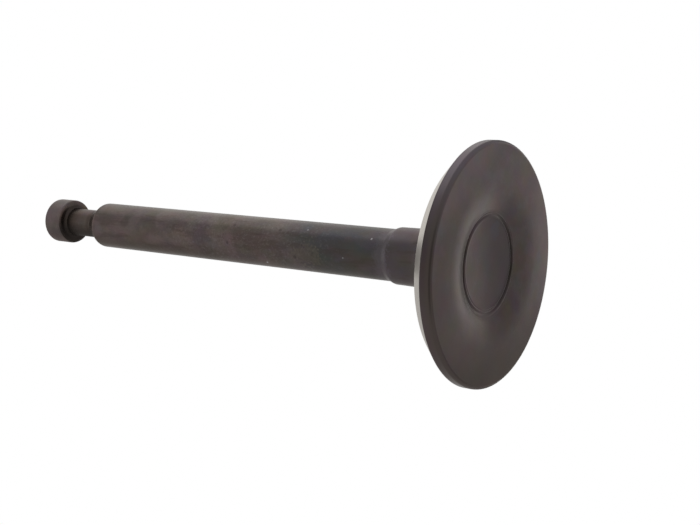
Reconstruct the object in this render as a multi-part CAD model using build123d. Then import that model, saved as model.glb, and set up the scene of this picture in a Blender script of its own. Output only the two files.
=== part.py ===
"""Poppet valve of a small engine, turned and forged from one piece of steel.

Millimetres. The valve stands on its head: the plane of the combustion face is z = 0,
the stem rises along +Z, and the Z axis is the axis of the whole valve.
"""
from build123d import *
import math
import os

# Driving dimensions of the whole valve
overall_length = 64.0
stem_diameter = 5.5
head_diameter = 24.6

# Head: edge, margin, seat and underside
face_edge_break = 0.25       # 45 degree break between the face and the margin
margin_thickness = 1.15      # from the face plane to the start of the seat
seat_width = 2.0             # measured along the ground cone
seat_angle = 45.0            # from the face plane, degrees
seat_back_radius = 0.3       # rounds the inner edge of the seat
underhead_angle = 15.0       # from the face plane, degrees
underhead_radius = 5.5       # sweeps the underside into the shank

# Shank: the thicker, unground length between the head and the stem
shank_step = 0.25            # how far the shank stands above the stem, on the radius
shank_taper = 0.1            # further growth towards the head, on the radius
shank_end = 11.05            # height of the shank's shoulder above the face plane
step_length = 0.65           # length of the bevel from the shank down to the stem

# Combustion face: a shallow dish with a flat floor and a ring pressed into it
face_land_width = 3.45       # flat rim that the valve stands on
dish_depth = 0.68
ring_diameter = 9.84         # middle of the pressed ring
ring_width = 0.3
ring_depth = 0.18
ring_land = 0.22             # flat floor outside the ring
dish_foot_radius = 0.3

# Keeper end: shoulder, groove and button
button_length = 2.8
groove_length = 6.15         # from the button to the top of the stem's shoulder
groove_depth = 1.03          # below the stem, on the radius
shoulder_length = 1.55       # height of the cone between stem and groove
shoulder_radius = 1.0        # rounds the stem into the cone
groove_end_radius = 1.6      # rounds the cone into the groove
button_root_radius = 0.4
button_edge_break = 0.15
tip_corner_radius = 0.2

# Radii that follow from the diameters
stem_r = stem_diameter / 2
head_r = head_diameter / 2
groove_r = stem_r - groove_depth
shank_r = stem_r + shank_step
shank_root_r = shank_r + shank_taper


def face_corners():
    """Floor of the dish, pressed ring, dished wall and flat rim, from the axis outwards."""
    ring_in = (ring_diameter - ring_width) / 2
    ring_out = (ring_diameter + ring_width) / 2
    ring_middle = ring_diameter / 2
    foot_r = ring_out + ring_land
    land_out = head_r - face_edge_break
    land_in = land_out - face_land_width
    # The wall is one arc, tangent to the rim. The knee is where its end tangents cross.
    half_turn = math.atan2(dish_depth, land_in - foot_r)
    knee_reach = dish_depth / math.sin(2 * half_turn)
    lip_radius = knee_reach / math.tan(half_turn) - dish_foot_radius
    return [
        (0, dish_depth, 0),
        (ring_in, dish_depth, 0),
        (ring_middle, dish_depth + ring_depth, 0),
        (ring_out, dish_depth, 0),
        (foot_r, dish_depth, dish_foot_radius),
        (land_in - knee_reach, 0, lip_radius),
        (land_out, 0, 0),
    ]


def head_corners():
    """Edge break, margin, ground seat and the underside as far as the shank."""
    seat_run = seat_width * math.cos(math.radians(seat_angle))
    seat_rise = seat_width * math.sin(math.radians(seat_angle))
    seat_in_r = head_r - seat_run
    seat_back = margin_thickness + seat_rise
    cone_rise = (seat_in_r - shank_root_r) * math.tan(math.radians(underhead_angle))
    return [
        (head_r, face_edge_break, 0),
        (head_r, margin_thickness, 0),
        (seat_in_r, seat_back, seat_back_radius),
        (shank_root_r, seat_back + cone_rise, underhead_radius),
    ]


def stem_corners():
    """Shank, its bevelled shoulder and the ground stem up to the keeper groove."""
    stem_end = overall_length - button_length - groove_length
    return [
        (shank_r, shank_end, 0),
        (stem_r, shank_end + step_length, 0),
        (stem_r, stem_end, shoulder_radius),
        (groove_r, stem_end + shoulder_length, groove_end_radius),
    ]


def button_corners():
    """Keeper groove's far end, the button above it and the flat tip."""
    button_start = overall_length - button_length
    return [
        (groove_r, button_start, button_root_radius),
        (stem_r - button_edge_break, button_start, 0),
        (stem_r, button_start + button_edge_break, 0),
        (stem_r, overall_length, tip_corner_radius),
        (0, overall_length, 0),
    ]


def turned(corners):
    """Turn a closed half section, given as (radius, height, corner radius), about Z."""
    points = [(r, z) for r, z, _ in corners]
    with BuildPart() as piece:
        with BuildSketch(Plane.XZ):
            with BuildLine():
                FilletPolyline(*points, radius=[c for _, _, c in corners], close=True)
            make_face()
        revolve(axis=Axis.Z)
    return piece.part


engine_valve = turned(face_corners() + head_corners() + stem_corners() + button_corners())

os.makedirs("parts", exist_ok=True)
export_step(engine_valve, "parts/engine_valve.step")
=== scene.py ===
import math

import bpy
import numpy as np
from mathutils import Matrix, Vector


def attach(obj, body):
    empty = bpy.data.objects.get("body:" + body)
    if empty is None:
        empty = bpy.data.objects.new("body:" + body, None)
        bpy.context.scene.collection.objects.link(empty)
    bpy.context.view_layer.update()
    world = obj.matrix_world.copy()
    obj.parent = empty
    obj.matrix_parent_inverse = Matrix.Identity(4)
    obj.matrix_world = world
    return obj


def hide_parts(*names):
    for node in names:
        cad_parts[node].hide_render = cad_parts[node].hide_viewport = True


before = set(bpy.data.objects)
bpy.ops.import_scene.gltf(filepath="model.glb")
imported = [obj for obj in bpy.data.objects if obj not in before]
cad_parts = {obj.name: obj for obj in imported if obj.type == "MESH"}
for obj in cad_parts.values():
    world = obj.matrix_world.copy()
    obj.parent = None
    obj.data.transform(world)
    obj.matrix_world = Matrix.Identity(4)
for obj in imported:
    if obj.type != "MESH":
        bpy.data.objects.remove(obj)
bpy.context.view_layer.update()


# ---- The valve ---------------------------------------------------------------------------
# A small engine's poppet valve, forged and turned from one bar of steel. It is nitrided, which
# leaves it dark grey-brown all over, and then its seat and the end of its stem are ground bright.
# It stands on its head: the combustion face is in the plane z = 0 and the stem rises along Z.

mm = 0.001

overall_length = 64.0 * mm
stem_radius = 2.75 * mm
head_radius = 12.3 * mm

# Head. The seat is a cone at 45 degrees, so it rises as far as it runs inwards.
face_edge_break = 0.25 * mm
margin_thickness = 1.15 * mm
seat_run = 2.0 * mm * math.cos(math.radians(45))
seat_back = margin_thickness + seat_run
seat_inner_radius = head_radius - seat_run
seat_back_fillet = 0.3 * mm
underhead_slope = math.tan(math.radians(15))
underhead_fillet = 5.5 * mm

# Shank
shank_radius = stem_radius + 0.25 * mm
shank_root_radius = shank_radius + 0.1 * mm
shank_end = 11.05 * mm
step_length = 0.65 * mm

# Combustion face: a dish whose wall is one arc, tangent to the flat rim that it stands on
dish_depth = 0.68 * mm
floor_sag = 0.13 * mm
dish_foot_radius = 5.29 * mm
dish_foot_fillet = 0.3 * mm
floor_edge = dish_foot_radius - 0.07 * mm
land_outer_radius = head_radius - face_edge_break
land_inner_radius = land_outer_radius - 3.45 * mm
wall_turn = math.atan2(dish_depth, land_inner_radius - dish_foot_radius)
knee_reach = dish_depth / math.sin(2 * wall_turn)
lip_fillet = knee_reach / math.tan(wall_turn) - dish_foot_fillet
lip_ease = 1.0 * mm

# Ring punched into the floor of the dish, struck twice. Azimuths are in degrees.
ring_radius = 4.92 * mm
ring_half_width = 0.23 * mm
ring_depth = 0.18 * mm
ring_shift = 0.14 * mm
ring_azimuth = -155
deep_azimuth = 140
shallow_share = 0.3
second_half_width = 0.12 * mm
second_depth = 0.04 * mm
second_shift = 0.4 * mm
second_azimuth = -110

# Keeper end
button_start = overall_length - 2.8 * mm
stem_end = button_start - 6.15 * mm
groove_radius = stem_radius - 1.03 * mm
shoulder_length = 1.55 * mm
shoulder_fillet = 1.0 * mm
groove_end_fillet = 1.6 * mm
button_root_fillet = 0.4 * mm
tip_fillet = 0.2 * mm

# Every sharp turned edge is in truth a little worn
worn_edge = 0.05 * mm
worn_rim = 0.38 * mm
worn_step = 0.8 * mm
worn_button = 0.38 * mm


def valve_corners():
    """Corners (radius, height, fillet) of the half section, from the edge of the dish's floor to the
    tip. The knee of the dish's wall is where the tangents of its arc cross."""
    underhead_rise = (seat_inner_radius - shank_root_radius) * underhead_slope
    return [
        (floor_edge, dish_depth, 0),
        (dish_foot_radius, dish_depth, dish_foot_fillet),
        (land_inner_radius - knee_reach, 0, lip_fillet),
        (land_outer_radius, 0, worn_rim),
        (head_radius, face_edge_break, worn_rim),
        (head_radius, margin_thickness, worn_edge),
        (seat_inner_radius, seat_back, seat_back_fillet),
        (shank_root_radius, seat_back + underhead_rise, underhead_fillet),
        (shank_radius, shank_end, worn_step),
        (stem_radius, shank_end + step_length, worn_step),
        (stem_radius, stem_end, shoulder_fillet),
        (groove_radius, stem_end + shoulder_length, groove_end_fillet),
        (groove_radius, button_start, button_root_fillet),
        (stem_radius, button_start, worn_button),
        (stem_radius, overall_length, tip_fillet),
        (0, overall_length, 0),
    ]


def rounded_section(corners, turn=math.radians(7), chord=0.3 * mm):
    """The points of a half section with its corners rounded. A fillet f between sides that turn by
    an angle t starts f tan(t/2) before the corner and is an arc about the point where both offset
    sides meet. Its points are no further apart than turn in angle and chord in length."""
    points = [np.array(corners[0][:2])]
    for (r0, z0, _), (r1, z1, fillet), (r2, z2, _) in zip(corners, corners[1:], corners[2:]):
        before = np.array([r1 - r0, z1 - z0])
        after = np.array([r2 - r1, z2 - z1])
        before /= np.linalg.norm(before)
        after /= np.linalg.norm(after)
        cross = before[0] * after[1] - before[1] * after[0]
        angle = math.atan2(cross, before @ after)
        start = np.array([r1, z1]) - before * fillet * math.tan(abs(angle) / 2)
        sideways = np.array([-before[1], before[0]]) * math.copysign(1, angle)
        by_turn = math.ceil(abs(angle) / turn)
        by_chord = math.ceil(abs(angle) * fillet / chord)
        steps = np.linspace(0, abs(angle), max(2, by_turn, by_chord) + 1)
        arc = (start + fillet * np.outer(np.sin(steps), before)
               + fillet * np.outer(1 - np.cos(steps), sideways))
        points += side_points(points[-1], arc[0])
        points += list(arc)
    last = np.array(corners[-1][:2])
    points += side_points(points[-1], last)
    return np.array(points + [last])


def side_points(start, end, inset=0.04 * mm, longest=0.9 * mm, longest_along=7.2 * mm):
    """Points inside a straight side: one an inset from each end, so that shading stays true up to
    the arcs, and others no further apart than longest across the valve and longest_along up it."""
    length = np.linalg.norm(end - start)
    if length < 4 * inset:
        return []
    gap = longest if abs(end[1] - start[1]) < abs(end[0] - start[0]) else longest_along
    count = max(2, math.ceil((length - 2 * inset) / gap) + 1)
    share = np.linspace(inset / length, 1 - inset / length, count)
    return list(start + share[:, None] * (end - start))


def floor_rows(fine_from=ring_radius - 0.55 * mm, fine_step=0.03 * mm, coarse_count=12):
    """Points of the dish's flat floor from the axis outwards, close together where the ring is."""
    coarse = np.linspace(0, fine_from, coarse_count, endpoint=False)
    fine = np.arange(fine_from, floor_edge, fine_step)
    return [(radius, dish_depth) for radius in [*coarse, *fine]]


def punched_circle(x, y, shift, azimuth, half_width, depth):
    """Depth of a groove with a cosine section about a circle of the ring's size, whose centre lies
    off the axis by shift towards azimuth. A low bell-shaped burr stands along both of its sides."""
    burr_share, burr_from_middle, burr_spread = 0.1, 1.35, 0.35
    angle = math.radians(azimuth)
    off_centre = np.hypot(x - shift * math.cos(angle), y - shift * math.sin(angle))
    away = abs(off_centre - ring_radius) / half_width
    groove = np.where(away < 1, 0.5 + 0.5 * np.cos(np.pi * away), 0)
    burr = np.exp(-((away - burr_from_middle) / burr_spread) ** 2)
    return depth * (groove - burr_share * burr)


def face_relief(x, y):
    """Depth that the dish has beyond its turned section. Its floor is a hollow that follows the square
    of the radius, and its lip bends gradually, as a cube, from the flat rim into the arc of the wall.
    The ring goes in deeper on two opposite sides, and a light second strike crosses it."""
    radius = np.hypot(x, y)
    hollow = floor_sag * np.clip(1 - (radius / dish_foot_radius) ** 2, 0, 1)
    reach = np.clip(land_inner_radius + lip_ease - radius, 0, 2 * lip_ease)
    arc = np.clip(land_inner_radius - radius, 0, lip_ease)
    eased = (reach ** 3 / (6 * lip_ease) - arc ** 2) / (2 * lip_fillet)
    from_deep = np.arctan2(y, x) - math.radians(deep_azimuth)
    first = punched_circle(x, y, ring_shift, ring_azimuth, ring_half_width, ring_depth)
    first = first * (shallow_share + (1 - shallow_share) * np.cos(from_deep) ** 2)
    second = punched_circle(x, y, second_shift, second_azimuth, second_half_width, second_depth)
    return hollow + eased + np.where(radius < land_inner_radius, first + second, 0)


def turned_mesh(name, section, around=360):
    """Turn a half section, given as (radius, height) from pole to pole, about Z. Ring i, column j is
    (r_i cos a_j, r_i sin a_j, z_i), and in the dish z_i also has the relief of the face. Each pole
    is one vertex with a fan of triangles."""
    angle = np.linspace(0, 2 * np.pi, around, endpoint=False)
    radius = section[1:-1, 0, None]
    height = section[1:-1, 1, None]
    x = radius * np.cos(angle)
    y = radius * np.sin(angle)
    z = height + np.where(height <= dish_depth, face_relief(x, y), 0)
    rings = np.stack([x, y, z], axis=-1).reshape(-1, 3)
    poles = [[0, 0, section[0, 1] + face_relief(0.0, 0.0)], [0, 0, section[-1, 1]]]
    column = np.arange(around)
    following = np.roll(column, -1)
    row = around * np.arange(len(section) - 3)[:, None]
    quads = np.stack([row + column, row + around + column,
                      row + around + following, row + following], axis=-1).reshape(-1, 4)
    first_pole = len(rings)
    top_row = first_pole - around
    start_fan = np.stack([0 * column + first_pole, column, following], axis=-1)
    end_fan = np.stack([0 * column + first_pole + 1, top_row + following, top_row + column], axis=-1)
    mesh = bpy.data.meshes.new(name)
    faces = quads.tolist() + start_fan.tolist() + end_fan.tolist()
    mesh.from_pydata(np.vstack([rings, poles]), [], faces)
    mesh.polygons.foreach_set("use_smooth", [True] * len(mesh.polygons))
    mesh.update()
    piece = bpy.data.objects.new(name, mesh)
    bpy.context.scene.collection.objects.link(piece)
    return piece


class Wire:
    """An output socket of a node tree. Arithmetic on it adds Math nodes, and node() adds any other."""

    def __init__(self, tree, socket=None):
        self.tree = tree
        self.socket = socket

    def node(self, kind, settings=(), inputs=(), output=0):
        """Add a node: its settings first, then values or links for its input sockets."""
        added = self.tree.nodes.new(kind)
        for name, value in dict(settings).items():
            setattr(added, name, value)
        for name, value in dict(inputs).items():
            if isinstance(value, Wire):
                self.tree.links.new(value.socket, added.inputs[name])
            else:
                added.inputs[name].default_value = value
        return Wire(self.tree, added.outputs[output]) if added.outputs else None

    def other(self, output):
        """Another output of the node that this one comes from."""
        return Wire(self.tree, self.socket.node.outputs[output])

    def maths(self, operation, first, second):
        return self.node("ShaderNodeMath", {"operation": operation}, {0: first, 1: second})

    def __add__(self, other):
        return self.maths("ADD", self, other)

    def __sub__(self, other):
        return self.maths("SUBTRACT", self, other)

    def __rsub__(self, other):
        return self.maths("SUBTRACT", other, self)

    def __mul__(self, other):
        return self.maths("MULTIPLY", self, other)

    def __truediv__(self, other):
        return self.maths("DIVIDE", self, other)

    def __pow__(self, other):
        return self.maths("POWER", self, other)

    __radd__ = __add__
    __rmul__ = __mul__

    def ramp(self, start, end, low=0.0, high=1.0):
        """Smooth change from low to high while this value goes from start to end."""
        return self.node("ShaderNodeMapRange", {"interpolation_type": "SMOOTHSTEP"},
                         {"Value": self, "From Min": start, "From Max": end,
                          "To Min": low, "To Max": high})

    def mix(self, first, second):
        """The first colour where this value is 0 and the second where it is 1."""
        return self.node("ShaderNodeMix", {"data_type": "RGBA"}, {0: self, 6: first, 7: second}, 2)

    def stretch(self, across, along):
        """This position scaled by across in x and y, and by along in z."""
        return self.node("ShaderNodeVectorMath", {"operation": "MULTIPLY"},
                         {0: self, 1: (across, across, along)})

    def moved(self, by):
        """This position moved by the same amount along each axis."""
        return self.node("ShaderNodeVectorMath", {"operation": "ADD"}, {0: self, 1: (by, by, by)})

    def noise(self, scale, detail, roughness=0.5):
        """Noise from 0 to 1 at this position, with scale cells a unit."""
        return self.node("ShaderNodeTexNoise", {},
                         {"Vector": self, "Scale": scale, "Detail": detail, "Roughness": roughness})


def new_material(name):
    """A material whose node tree is empty, and a wire to start that tree from."""
    material = bpy.data.materials.new(name)
    material.use_nodes = True
    material.node_tree.nodes.clear()
    return material, Wire(material.node_tree)


def rgb(red, green, blue):
    """An opaque colour, from its linear parts."""
    return (red, green, blue, 1.0)


# Tones of the nitrided skin, from the face up to the button
face_brown = rgb(0.0500, 0.0384, 0.0400)
shank_violet = rgb(0.0540, 0.0455, 0.0490)
neck_grey = rgb(0.0428, 0.0400, 0.0386)
neck_blue = rgb(0.0430, 0.0440, 0.0490)
stem_brown = rgb(0.0900, 0.0685, 0.0640)
ash = rgb(0.0740, 0.0665, 0.0600)
keeper_brown = rgb(0.0750, 0.0540, 0.0470)
button_violet = rgb(0.0960, 0.0755, 0.0730)

# Tones of its clouds, stains and wear, of painted shade and painted highlights, and of bare steel
violet = rgb(0.0600, 0.0480, 0.0530)
olive = rgb(0.0530, 0.0440, 0.0360)
# Dark brown for streaks and specks, and painted shade on the stem's underside
umber_and_shade = rgb(0.0390, 0.0290, 0.0240)
# Near black for pits, and painted shade in recesses and on shaded sides
soot_and_shade = rgb(0.0200, 0.0160, 0.0140)
rust = rgb(0.0800, 0.0670, 0.0500)
# Painted shade on the lower and near sides of the combustion face
painted_shade_dark = rgb(0.0228, 0.0160, 0.0136)
painted_shade_brown = rgb(0.0530, 0.0372, 0.0350)
# Painted highlight at the rim of the face and on the margin
painted_highlight_brown = rgb(0.0760, 0.0590, 0.0610)
# Painted shade on one side of the ring's floor
ring_floor_shade = rgb(0.0216, 0.0160, 0.0186)
blue_stain = rgb(0.0270, 0.0260, 0.0360)
# Violet for the worn bevel of the shank, and a painted highlight on the top of the margin
violet_wear_and_highlight = rgb(0.0850, 0.0750, 0.0900)
bare_metal = rgb(0.30, 0.29, 0.30)
ground_metal = rgb(0.605, 0.575, 0.532)
glancing_tint = rgb(0.665, 0.648, 0.63)

# Dark pits of the stem (height, azimuth) and its bright nicks (height, azimuth, size, share)
pits = ((32.1, -179), (32.6, 137), (25.4, 180), (23.0, 119))
nicks = ((21.8, -173, 0.12, 0.4), (13.3, 179, 0.17, 0.5), (16.5, 130, 0.12, 0.35), (27.4, 93, 0.12, 0.8))


class Skin:
    """The surface of the valve as its layers of colour need it: each position in millimetres, the
    patterns that break the layers up, and the colour that has been laid on so far. Lengths in the
    layers are in millimetres and azimuths in degrees, counted from X towards Y."""

    def __init__(self, tree, first_tone):
        self.place = tree.node("ShaderNodeTexCoord", output="Object").stretch(1 / mm, 1 / mm)
        self.x = self.place.node("ShaderNodeSeparateXYZ", {}, {0: self.place}, "X")
        self.y = self.x.other("Y")
        self.z = self.x.other("Z")
        self.radius = (self.x * self.x + self.y * self.y) ** 0.5
        self.clouds = self.place.noise(0.25, 3.0)
        self.mottle = self.place.stretch(1.0, 0.7).noise(0.45, 4.0, 0.6)
        self.specks = self.place.noise(3.5, 2.0, 0.7)
        self.ragged = self.mottle + self.specks - 1.0
        self.colour = first_tone

    def lay(self, tone, share):
        """Lay a tone over the colour, wholly where share is 1 and not at all where it is 0."""
        self.colour = share.mix(self.colour, tone)

    def tinted(self, scale, strength, shift=0.0):
        """The colour with its hue pushed about by that strength, in clouds of scale cells a
        millimetre. Another shift gives other clouds."""
        hues = self.place.stretch(1.0, 0.6).moved(shift).noise(scale, 3.0, 0.55).other("Color")
        least = 1.0 - strength / 2
        hues = hues.node("ShaderNodeVectorMath", {"operation": "MULTIPLY_ADD"},
                         {0: hues, 1: (strength, strength, strength), 2: (least, least, least)})
        return hues.node("ShaderNodeVectorMath", {"operation": "MULTIPLY"}, {0: self.colour, 1: hues})

    def side(self, azimuth):
        """How far each position lies from the axis towards an azimuth in degrees."""
        angle = math.radians(azimuth)
        return self.x * math.cos(angle) + self.y * math.sin(angle)

    def spot(self, height, azimuth, size, raggedness, out=stem_radius / mm):
        """Mask of a spot at a height, an azimuth and a distance out from the axis."""
        angle = math.radians(azimuth)
        centre = (out * math.cos(angle), out * math.sin(angle), height)
        away = self.place.node("ShaderNodeVectorMath", {"operation": "DISTANCE"},
                               {0: self.place, 1: centre}, "Value")
        return (away + raggedness * self.ragged).ramp(size, 0.5 * size)


def lay_skin_tones(skin):
    """The skin's own tones, each from some height up, with ash and blue along one side of the stem,
    and clouds of olive, violet and mixed hues over all of them."""
    z = skin.z
    skin.lay(shank_violet, z.ramp(1.0, 2.0))
    skin.lay(neck_grey, z.ramp(11.0, 11.8))
    skin.lay(stem_brown, (z + 12.0 * (skin.clouds - 0.5)).ramp(19, 29))
    skin.lay(ash, 0.6 * skin.side(-130).ramp(0.4, 2.6) * z.ramp(20, 28))
    skin.lay(neck_blue, 0.75 * skin.side(-145).ramp(0.2, 2.4) * z.ramp(11.8, 13) * z.ramp(27, 21))
    skin.lay(keeper_brown, z.ramp(54.3, 55.5))
    skin.lay(button_violet, z.ramp(61.25, 61.35))
    skin.lay(olive, 0.5 * skin.place.moved(40.0).noise(0.3, 3.0).ramp(0.46, 0.60))
    skin.lay(violet, 0.5 * skin.mottle.ramp(0.48, 0.62))
    skin.colour = skin.tinted(0.6, 0.36)


def lay_stem_wear(skin, keeper_underside_shade):
    """Streaks along the stem, painted shade on the underside of the stem and of the keeper end, fine
    specks, the worn bevel of the shank, a patch of rust, a smudge, and a few pits and bright nicks."""
    z = skin.z
    below_button = z.ramp(61.35, 61.3)
    streaks = skin.place.stretch(0.9, 0.16).noise(1.0, 3.0, 0.6)
    skin.lay(umber_and_shade, 0.4 * z.ramp(2.5, 6.0) * below_button * streaks.ramp(0.52, 0.66))
    # Painted shade: the underside of the stem, towards azimuth 60, darker up to the button
    skin.lay(umber_and_shade, skin.side(60).ramp(1.0, 2.6) * z.ramp(22, 38, 0.0, 0.75) * below_button)
    # Painted shade on the keeper end's underside
    skin.lay(soot_and_shade, keeper_underside_shade * below_button)
    speckled = z.ramp(15, 22, 0.1, 1.0) * z.ramp(46, 38, 0.3, 1.0)
    skin.lay(umber_and_shade, 0.3 * speckled * skin.specks.ramp(0.56, 0.66))
    skin.lay(bare_metal, 0.07 * speckled * skin.specks.ramp(0.44, 0.34))
    ragged_z = z + 2.0 * skin.ragged
    skin.lay(violet_wear_and_highlight, 0.4 * ragged_z.ramp(13.2, 12.0) * ragged_z.ramp(10.8, 11.2))
    skin.lay(rust, 0.4 * skin.spot(21.4, 128, 1.8, 4.0))
    skin.lay(umber_and_shade, 0.3 * skin.spot(49.4, 160, 0.8, 1.2))
    for height, azimuth in pits:
        skin.lay(soot_and_shade, 0.45 * skin.spot(height, azimuth, 0.25, 0.4))
    for height, azimuth, size, share in nicks:
        skin.lay(bare_metal, share * skin.spot(height, azimuth, size, 0.15))


def lay_face(skin):
    """Painted shade that darkens the combustion face towards three sides, painted highlights at its rim,
    painted shade on one side of the ring's floor and a blue stain there, painted shade in the ring and
    at the dish's foot where the punch went in deep, and clouds of mixed hues."""
    on_face = skin.z.ramp(1.1, 0.9)
    # Painted shade: the combustion face darker towards azimuths 95, 42 and 148
    skin.lay(painted_shade_brown, 0.5 * on_face * skin.side(95).ramp(5.0, 10.5))
    skin.lay(painted_shade_dark, 0.96 * on_face * skin.side(42).ramp(3.0, 11.5))
    skin.lay(painted_shade_dark, 0.22 * on_face * skin.side(148).ramp(4.0, 9.0))
    # Painted highlights: the rim of the face lighter towards azimuths -50 and -168
    for azimuth in (-50, -168):
        skin.lay(painted_highlight_brown, 0.8 * on_face * skin.side(azimuth).ramp(8.0, 12.0))
    inside_ring = skin.radius.ramp(5.6, 4.6) * on_face
    # Painted shade: the ring's floor darker towards azimuth -48
    skin.lay(ring_floor_shade, 0.78 * inside_ring * skin.side(-48).ramp(-3.6, 1.8))
    skin.lay(blue_stain, 0.5 * inside_ring * skin.spot(dish_depth / mm, -112, 1.1, 1.5, 3.5))

    ring_x = skin.x - ring_shift / mm * math.cos(math.radians(ring_azimuth))
    ring_y = skin.y - ring_shift / mm * math.sin(math.radians(ring_azimuth))
    off_centre = (ring_x * ring_x + ring_y * ring_y) ** 0.5
    deep = skin.side(deep_azimuth) / skin.radius
    in_ring = off_centre.ramp(4.64, 4.84) * off_centre.ramp(5.22, 5.02)
    # Painted shade in the ring, strongest where the punch went in deep
    skin.lay(soot_and_shade, 0.9 * on_face * in_ring * deep * deep)
    # Painted shade just outside the ring at the dish's foot, on the deep sides
    at_foot = off_centre.ramp(4.84, 5.0) * off_centre.ramp(6.6, 5.2) * deep.ramp(0.6, 0.95)
    skin.lay(soot_and_shade, 0.65 * on_face * at_foot)
    skin.lay(skin.tinted(0.42, 0.5, 37.0), on_face)


def lay_margin(skin):
    """Tones round the margin, the plain band between the face and the seat: painted shade towards
    azimuth 158, painted highlights towards -140 and 95, and olive near the face towards 125.
    """
    margin = skin.radius.ramp(11.95, 12.15) * skin.z.ramp(1.17, 1.13)
    # Painted shade on the margin towards azimuth 158, and painted highlights towards -140 and 95
    skin.lay(soot_and_shade, 0.4 * margin * skin.side(158).ramp(9.5, 12.0))
    skin.lay(violet_wear_and_highlight, 0.55 * margin * skin.side(-140).ramp(4.0, 12.0))
    skin.lay(painted_highlight_brown, 0.4 * margin * skin.side(95).ramp(6.5, 11.0))
    skin.lay(olive, 0.5 * margin * skin.z.ramp(0.8, 0.3) * skin.side(125).ramp(4.0, 11.0))


def lay_groove_shade(skin):
    """Painted shade in the keeper groove, darker towards the button and at the foot of the shoulder."""
    z = skin.z
    in_groove = skin.radius.ramp(2.3, 2.0) * z.ramp(56.3, 56.6) * z.ramp(61.3, 61.25)
    # Painted shade deepening the groove's darkness towards the button
    skin.lay(soot_and_shade, in_groove * z.ramp(58.6, 60.2, 0.0, 0.45))
    skin.lay(soot_and_shade, in_groove * z.ramp(60.5, 60.9, 0.0, 0.5))
    skin.lay(soot_and_shade, 0.45 * in_groove * z.ramp(57.6, 57.0) * skin.radius.ramp(2.2, 1.8))


def lay_ground_surfaces(skin):
    """The seat and the end of the tip, ground bright after nitriding, the seat darker on one side."""
    seat = skin.z.ramp(1.13, 1.17) * skin.radius.ramp(10.84, 10.9) * skin.z.ramp(2.60, 2.56)
    tip = skin.z.ramp(63.86, 63.9)
    skin.lay(ground_metal, seat.maths("MAXIMUM", seat, tip))
    # The seat darker towards azimuth 112
    skin.lay(soot_and_shade, 0.35 * seat * skin.side(112).ramp(7.0, 12.0))


def nitrided_steel():
    """Metal under all the layers above, duller under the painted shade of the keeper end's underside,
    with the grain of turning and grinding round the axis and the fine specks in its normal."""
    material, tree = new_material("nitrided_steel")
    skin = Skin(tree, face_brown)
    # Painted shade: the underside of the keeper end, towards azimuth 70, darker and duller
    keeper_underside_shade = skin.side(70).ramp(0.3, 1.8) * skin.z.ramp(54.5, 56.5, 0.0, 0.9)
    lay_skin_tones(skin)
    lay_stem_wear(skin, keeper_underside_shade)
    lay_face(skin)
    lay_margin(skin)
    lay_groove_shade(skin)
    lay_ground_surfaces(skin)
    roughness = 0.33 + 0.12 * (skin.clouds - 0.5) + 0.05 * (skin.specks - 0.5) + 0.3 * keeper_underside_shade
    grain = skin.place.stretch(0.5, 14.0).noise(1.0, 3.0, 0.6)
    bump = tree.node("ShaderNodeBump", {}, {"Strength": 0.05, "Distance": 0.05 * mm,
                                            "Height": 0.5 * skin.specks + 0.5 * grain})
    steel = tree.node("ShaderNodeBsdfPrincipled", {},
                      {"Base Color": skin.colour, "Metallic": 0.9, "Roughness": roughness,
                       "Specular Tint": glancing_tint, "Normal": bump})
    tree.node("ShaderNodeOutputMaterial", {}, {"Surface": steel})
    return material


valve = turned_mesh("valve", np.vstack([floor_rows(), rounded_section(valve_corners())]))
valve.data.materials.append(nitrided_steel())
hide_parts("engine_valve")
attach(valve, "root")


# ---- The floor -----------------------------------------------------------------------------
# A plain pale floor that the valve stands on. It is matt near the valve, where it takes the
# shadow, and runs out into white further off. Seen from below it is clear.

floor_size = 3.0
floor_drop = 0.02 * mm
matt_radius = 0.05
white_radius = 0.4
floor_grey = rgb(0.86, 0.86, 0.86)


def flat_sheet(name, width, height, z=0.0):
    """A rectangle of width by height about the Z axis, at height z and facing up."""
    across, along = width / 2, height / 2
    corners = [(-across, -along, z), (across, -along, z), (across, along, z), (-across, along, z)]
    mesh = bpy.data.meshes.new(name)
    mesh.from_pydata(corners, [], [(0, 1, 2, 3)])
    sheet = bpy.data.objects.new(name, mesh)
    bpy.context.scene.collection.objects.link(sheet)
    return sheet


def floor_finish():
    """Matt grey round the origin that gives way to glowing white, and clear on its lower side."""
    material, tree = new_material("floor")
    place = tree.node("ShaderNodeTexCoord", output="Object")
    distance = tree.node("ShaderNodeVectorMath", {"operation": "LENGTH"}, {0: place}, "Value")
    matt = tree.node("ShaderNodeBsdfDiffuse", {}, {"Color": floor_grey})
    white = tree.node("ShaderNodeEmission", {}, {"Strength": 1.0})
    top = tree.node("ShaderNodeMixShader", {},
                    {0: distance.ramp(matt_radius, white_radius), 1: matt, 2: white})
    clear = tree.node("ShaderNodeBsdfTransparent")
    below = tree.node("ShaderNodeNewGeometry", output="Backfacing")
    surface = tree.node("ShaderNodeMixShader", {}, {0: below, 1: top, 2: clear})
    tree.node("ShaderNodeOutputMaterial", {}, {"Surface": surface})
    return material


floor = flat_sheet("floor", floor_size, floor_size, -floor_drop)
floor.data.materials.append(floor_finish())
floor.visible_diffuse = False
floor.visible_glossy = False
floor.visible_transmission = False
floor.visible_shadow = False


# ---- The studio ----------------------------------------------------------------------------
# A white room with three soft panels: the key beside the stem, one low behind the valve and a weak
# one overhead. Two grey cards, one under the camera and one behind the valve, are seen by metal
# only. Metal and the camera see the room white, and the light that it gives is weaker than that.

room_light = 0.55
room_seen = 1.0
mid_stem = Vector((0, 0, overall_length / 2))
face_centre = Vector((0, 0, 0))


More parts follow.
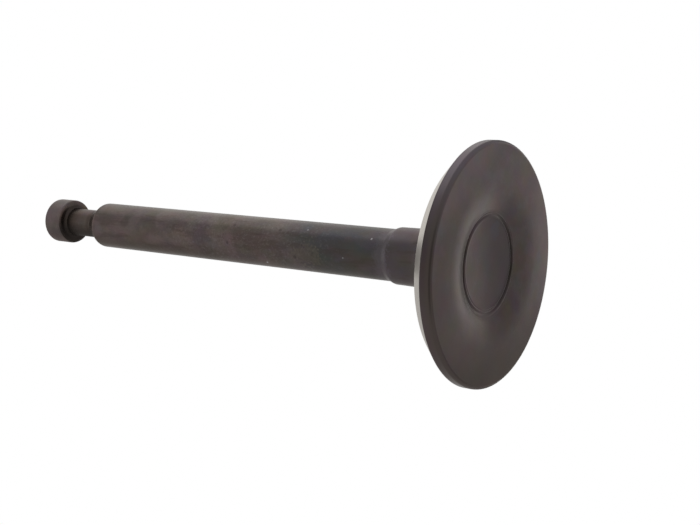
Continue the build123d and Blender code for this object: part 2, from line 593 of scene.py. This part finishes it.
def direction(azimuth, elevation):
    """Unit vector at an azimuth, counted from X towards Y, and an elevation, in degrees."""
    a = math.radians(azimuth)
    e = math.radians(elevation)
    return Vector((math.cos(e) * math.cos(a), math.cos(e) * math.sin(a), math.sin(e)))


def face_towards(thing, aim, azimuth, elevation, distance):
    """Put a panel or a card at a distance from aim in that direction, turned to face it."""
    towards = direction(azimuth, elevation)
    thing.location = aim + distance * towards
    thing.rotation_euler = (-towards).to_track_quat("-Z", "Y").to_euler()
    thing.visible_camera = False


def soft_panel(name, aim, azimuth, elevation, distance, width, height, power):
    """A rectangular softbox that the camera doesn't see."""
    lamp = bpy.data.lights.new(name, "AREA")
    lamp.shape = "RECTANGLE"
    lamp.size = width
    lamp.size_y = height
    lamp.energy = power
    panel = bpy.data.objects.new(name, lamp)
    bpy.context.scene.collection.objects.link(panel)
    face_towards(panel, aim, azimuth, elevation, distance)


def grey_card(name, azimuth, elevation, distance, width, height, shade):
    """A card that only metal sees: it takes the white out of one side of the room."""
    card = flat_sheet(name, width, height)
    face_towards(card, face_centre, azimuth, elevation, distance)
    card.visible_diffuse = False
    card.visible_shadow = False
    material, tree = new_material(name)
    grey = tree.node("ShaderNodeEmission", {}, {"Strength": shade})
    tree.node("ShaderNodeOutputMaterial", {}, {"Surface": grey})
    card.data.materials.append(material)


soft_panel("key_panel", mid_stem, azimuth=-108, elevation=36, distance=0.5,
           width=0.7, height=0.3, power=0.67)
soft_panel("far_panel", face_centre, azimuth=-36, elevation=-13, distance=0.5,
           width=0.5, height=0.24, power=0.30)
soft_panel("top_panel", mid_stem, azimuth=145, elevation=78, distance=0.5,
           width=0.3, height=0.3, power=0.12)
grey_card("near_card", azimuth=135, elevation=-52, distance=0.5, width=0.55, height=0.4, shade=0.5)
grey_card("far_card", azimuth=-35, elevation=16, distance=0.55, width=0.7, height=0.22, shade=0.1)

world = bpy.data.worlds.new("studio")
bpy.context.scene.world = world
world.use_nodes = True
world.node_tree.nodes.clear()
room = Wire(world.node_tree)
by_camera = room.node("ShaderNodeLightPath", output="Is Camera Ray")
seen = room.maths("MAXIMUM", by_camera, by_camera.other("Is Glossy Ray"))
seen = room.maths("MAXIMUM", seen, by_camera.other("Is Transmission Ray"))
light = room.node("ShaderNodeBackground", {},
                  {"Color": rgb(1, 1, 1), "Strength": seen.ramp(0, 1, room_light, room_seen)})
room.node("ShaderNodeOutputWorld", {}, {"Surface": light})
bpy.context.scene.view_settings.view_transform = "Standard"


# ---- The camera ----------------------------------------------------------------------------
# Held low on the near side of the valve, looking up at its face, and turned on its side so that
# the stem runs across the view with the head at the right, a few degrees lower than the tip.

camera_aim = Vector((0.66, 1.09, 17.33)) * mm
camera_azimuth = 148.70
camera_elevation = -34.92
camera_distance = 119.09 * mm
stem_droop = 6.45
sensor_width = 36.0
lens_length = 57.12
nearest_seen = 0.005
farthest_seen = 10

lens = bpy.data.cameras.new("camera")
lens.sensor_width = sensor_width
lens.lens = lens_length
lens.clip_start = nearest_seen
lens.clip_end = farthest_seen
camera = bpy.data.objects.new("camera", lens)
bpy.context.scene.collection.objects.link(camera)
back = direction(camera_azimuth, camera_elevation)
headwards = Vector((0, 0, -1))
along_stem = (headwards - headwards.dot(back) * back).normalized()
view_right = Matrix.Rotation(math.radians(stem_droop), 3, back) @ along_stem
view_up = back.cross(view_right)
turned = Matrix((view_right, view_up, back)).transposed().to_4x4()
camera.matrix_world = Matrix.Translation(camera_aim + camera_distance * back) @ turned
bpy.context.scene.camera = camera
